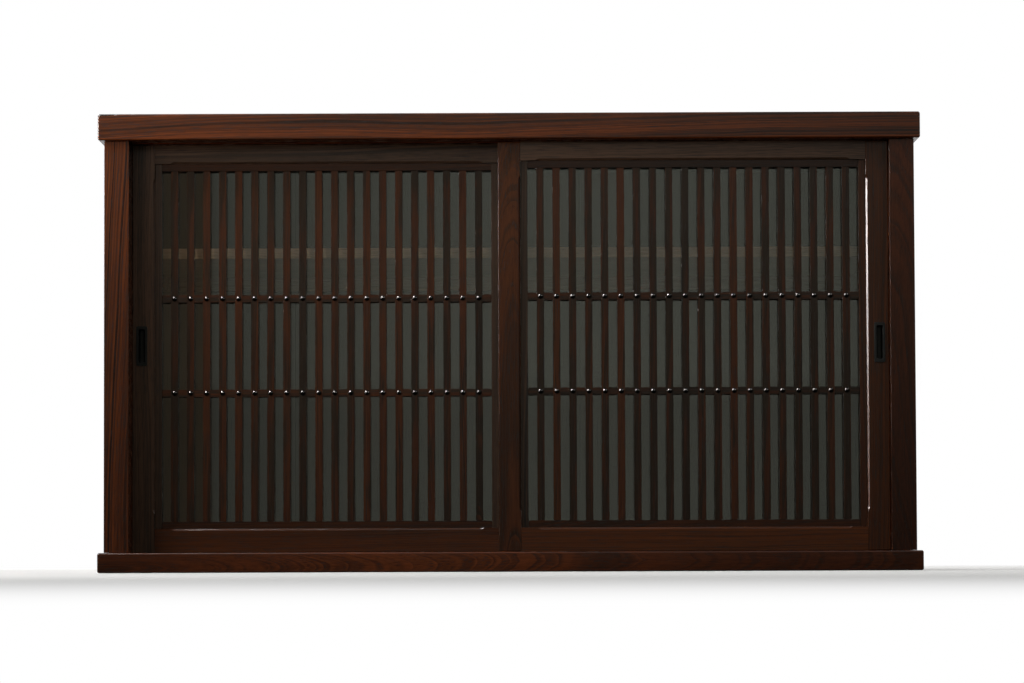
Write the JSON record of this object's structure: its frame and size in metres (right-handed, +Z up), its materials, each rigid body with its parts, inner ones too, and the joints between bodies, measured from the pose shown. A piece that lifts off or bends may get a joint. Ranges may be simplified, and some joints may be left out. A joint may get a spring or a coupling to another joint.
{
  "type": "kitchen tansu",
  "caption": "Low wooden kitchen chest with overhanging top and bottom boards, sliding lattice doors backed by clear glass, recessed finger pulls and a full-width shelf inside.",
  "frame": {"origin": "on the surface that the chest stands on, under the middle of its width and depth", "axes": "+X to the right across the width, +Y from the front to the back, +Z up"},
  "size_m": [1.4, 0.42, 0.781],
  "materials": {
    "stained_board": "reddish-brown stain, satin lacquer",
    "stained_side": "reddish-brown stain, satin lacquer",
    "stained_frame": "dark reddish-brown stain, satin lacquer",
    "stained_lattice": "dark reddish-brown stain, satin lacquer",
    "bare_wood": "planed softwood, unfinished",
    "clear_glass": "clear float glass",
    "black_metal": "blackened, worn satin"
  },
  "bodies": {
    "carcass": {"top_board": "stained_board", "bottom_board": "stained_board", "left_side_board": "stained_side", "right_side_board": "stained_side", "back_board_1": "bare_wood", "back_board_2": "bare_wood", "back_board_3": "bare_wood", "back_board_4": "bare_wood", "back_board_5": "bare_wood", "shelf": "bare_wood", "left_shelf_cleat": "bare_wood", "right_shelf_cleat": "bare_wood", "back_shelf_cleat": "bare_wood"},
    "left_door": {"left_door_outer_stile": "stained_frame", "left_door_meeting_stile": "stained_frame", "left_door_top_rail": "stained_frame", "left_door_bottom_rail": "stained_frame", "left_door_lattice_grid": "stained_lattice", "left_door_lattice_outer_bar": "stained_lattice", "left_door_lattice_meeting_bar": "stained_lattice", "left_door_lattice_top_bar": "stained_lattice", "left_door_lattice_bottom_bar": "stained_lattice", "left_door_glass_pane": "clear_glass", "left_door_glass_bead_bottom": "stained_frame", "left_door_glass_bead_top": "stained_frame", "left_door_glass_bead_outer": "stained_frame", "left_door_glass_bead_meeting": "stained_frame", "left_door_finger_pull": "black_metal"},
    "right_door": {"right_door_outer_stile": "stained_frame", "right_door_meeting_stile": "stained_frame", "right_door_top_rail": "stained_frame", "right_door_bottom_rail": "stained_frame", "right_door_lattice_grid": "stained_lattice", "right_door_lattice_outer_bar": "stained_lattice", "right_door_lattice_meeting_bar": "stained_lattice", "right_door_lattice_top_bar": "stained_lattice", "right_door_lattice_bottom_bar": "stained_lattice", "right_door_glass_pane": "clear_glass", "right_door_glass_bead_bottom": "stained_frame", "right_door_glass_bead_top": "stained_frame", "right_door_glass_bead_outer": "stained_frame", "right_door_glass_bead_meeting": "stained_frame", "right_door_finger_pull": "black_metal"}
  },
  "joints": [
    {"name": "left_door_slide", "type": "slide", "parent": "carcass", "child": "left_door", "axis": [1, 0, 0], "range_m": [0, 0.6285]},
    {"name": "right_door_slide", "type": "slide", "parent": "carcass", "child": "right_door", "axis": [-1, 0, 0], "range_m": [0, 0.6285]}
  ]
}
